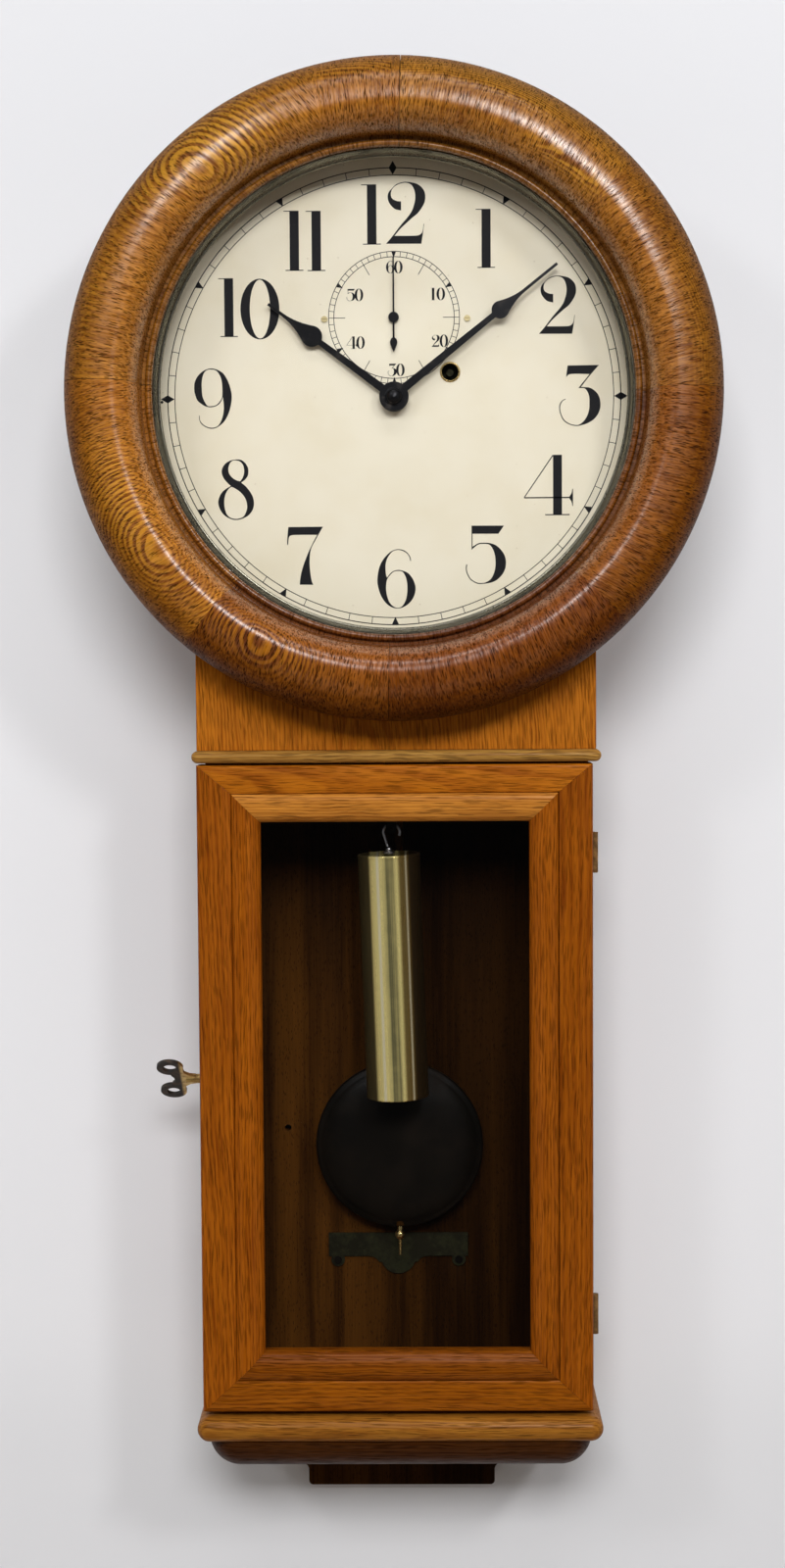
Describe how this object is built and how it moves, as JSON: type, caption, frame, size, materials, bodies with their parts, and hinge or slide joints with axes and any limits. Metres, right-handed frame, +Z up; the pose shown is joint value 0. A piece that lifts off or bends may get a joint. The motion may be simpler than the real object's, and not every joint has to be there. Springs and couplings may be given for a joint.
{
  "type": "wall clock",
  "caption": "Weight-driven wall regulator clock with a round wooden head, a painted dial with a seconds dial, and a glazed trunk door over a pendulum.",
  "frame": {"origin": "the hand arbor's axis taken back to the backboard's back face, which lies on the wall", "axes": "+Z up, +X to the viewer's right, +Y into the wall, so the viewer looks along +Y"},
  "size_m": [0.406, 0.152, 0.932],
  "materials": {
    "oak": "varnished golden brown oak",
    "oak_back": "dark stained oak",
    "brass": "polished",
    "dull_brass": "tarnished",
    "steel": "plain",
    "black_steel": "blacked",
    "nickel": "dull nickel",
    "key_metal": "browned, with a bright shaft",
    "dial_paint": "cream enamel paint",
    "iron": "blacked",
    "glass": "clear"
  },
  "bodies": {
    "case": {"backboard": "oak_back", "left_side": "oak", "right_side": "oak", "top_board": "oak", "bottom_shelf": "oak", "base_moulding": "oak", "front_panel": "oak", "upper_bead": "oak", "dial_board": "oak_back", "hanger_plate": "steel", "beat_scale": "dull_brass", "back_screws": "steel", "door_hinge_fixed": "dull_brass", "head_hinge_fixed": "dull_brass", "dial": "dial_paint", "dial_screws": "brass", "winding_grommet": "brass", "movement_seat": "oak_back", "back_plate": "brass", "front_plate": "brass", "pillars": "brass", "suspension_cock": "brass", "cable_anchor": "steel", "cable_falls": "brass"},
    "trunk_door": {"door_left_stile": "oak", "door_right_stile": "oak", "door_top_rail": "oak", "door_bottom_rail": "oak", "door_moulding": "oak", "door_glass": "glass", "door_hinge_moving": "dull_brass", "door_keeper": "dull_brass"},
    "head_door": {"head_ring": "oak", "head_sash": "nickel", "head_glass": "glass", "head_hinge_moving": "dull_brass"},
    "latch": {"latch_key": "key_metal", "latch_hook": "dull_brass"},
    "centre_arbor": {"centre_wheel": "brass", "cannon_pinion": "steel", "minute_hand": "black_steel", "hand_nut": "black_steel"},
    "third_arbor": {"third_wheel": "brass"},
    "escape_arbor": {"escape_wheel": "brass", "seconds_hand": "black_steel"},
    "great_wheel": {"great_wheel": "brass"},
    "winding_drum": {"drum": "brass"},
    "minute_work": {"minute_wheel": "brass"},
    "hour_work": {"hour_wheel": "brass", "hour_hand": "black_steel"},
    "pallet_arbor": {"pallets": "steel", "crutch": "dull_brass"},
    "pendulum": {"suspension_spring": "steel", "pendulum_rod": "oak_back", "bob": "iron", "rating_nut": "brass"},
    "hanging_weight": {"weight": "brass", "weight_hook": "steel", "pulley_bail": "steel"},
    "sheave": {"pulley_sheave": "brass"}
  },
  "joints": [
    {"name": "trunk_door_swing", "type": "hinge", "parent": "case", "child": "trunk_door", "pos_m": [0.1266, -0.08415, -0.43], "axis": [0, 0, 1], "range_deg": [0, 110]},
    {"name": "head_door_swing", "type": "hinge", "parent": "case", "child": "head_door", "pos_m": [0.196, -0.097, 0], "axis": [0, 0, 1], "range_deg": [0, 100]},
    {"name": "latch_turn", "type": "hinge", "parent": "case", "child": "latch", "pos_m": [-0.12, -0.071, -0.437], "axis": [-1, 0, 0], "range_deg": [0, 90]},
    {"name": "minute_spin", "type": "hinge", "parent": "case", "child": "centre_arbor", "pos_m": [0, -0.08, 0], "axis": [0, 1, 0], "continuous": true},
    {"name": "minute_work_spin", "type": "hinge", "parent": "case", "child": "minute_work", "pos_m": [-0.0138, -0.08, -0.0096], "axis": [0, 1, 0], "continuous": true},
    {"name": "hour_spin", "type": "hinge", "parent": "case", "child": "hour_work", "pos_m": [0, -0.084, 0], "axis": [0, 1, 0], "continuous": true},
    {"name": "third_spin", "type": "hinge", "parent": "case", "child": "third_arbor", "pos_m": [-0.0025, -0.055, 0.0246], "axis": [0, 1, 0], "continuous": true},
    {"name": "seconds_spin", "type": "hinge", "parent": "case", "child": "escape_arbor", "pos_m": [0, -0.05, 0.05], "axis": [0, 1, 0], "continuous": true},
    {"name": "great_spin", "type": "hinge", "parent": "case", "child": "great_wheel", "pos_m": [0.0354, -0.043, 0.0157], "axis": [0, 1, 0], "continuous": true},
    {"name": "weight_slide", "type": "slide", "parent": "case", "child": "hanging_weight", "axis": [0, 0, 1], "range_m": [-0.185, 0.115], "deforming": ["cable_falls"]},
    {"name": "drum_wind", "type": "hinge", "parent": "case", "child": "winding_drum", "pos_m": [0.0354, -0.06, 0.0157], "axis": [0, 1, 0], "range_deg": [-3040, 1890]},
    {"name": "sheave_spin", "type": "hinge", "parent": "hanging_weight", "child": "sheave", "pos_m": [-0.0038, -0.0627, -0.229], "axis": [0, 1, 0], "range_deg": [-210, 335]},
    {"name": "pendulum_swing", "type": "hinge", "parent": "case", "child": "pendulum", "pos_m": [0, -0.029, 0.078], "axis": [0, 1, 0], "range_deg": [-2.5, 2.5]},
    {"name": "pallet_rock", "type": "hinge", "parent": "case", "child": "pallet_arbor", "pos_m": [0, -0.048, 0.078], "axis": [0, 1, 0], "range_deg": [-2.5, 2.5]}
  ],
  "couplings": [
    {"joint": "minute_work_spin", "follows": "minute_spin", "ratio": -0.33333},
    {"joint": "hour_spin", "follows": "minute_spin", "ratio": 0.083333},
    {"joint": "third_spin", "follows": "minute_spin", "ratio": -8},
    {"joint": "seconds_spin", "follows": "minute_spin", "ratio": 60},
    {"joint": "great_spin", "follows": "minute_spin", "ratio": -0.083333},
    {"joint": "drum_wind", "follows": "weight_slide", "rad_per_m": 285.71},
    {"joint": "sheave_spin", "follows": "weight_slide", "rad_per_m": -31.056},
    {"joint": "pallet_rock", "follows": "pendulum_swing", "ratio": 1}
  ]
}
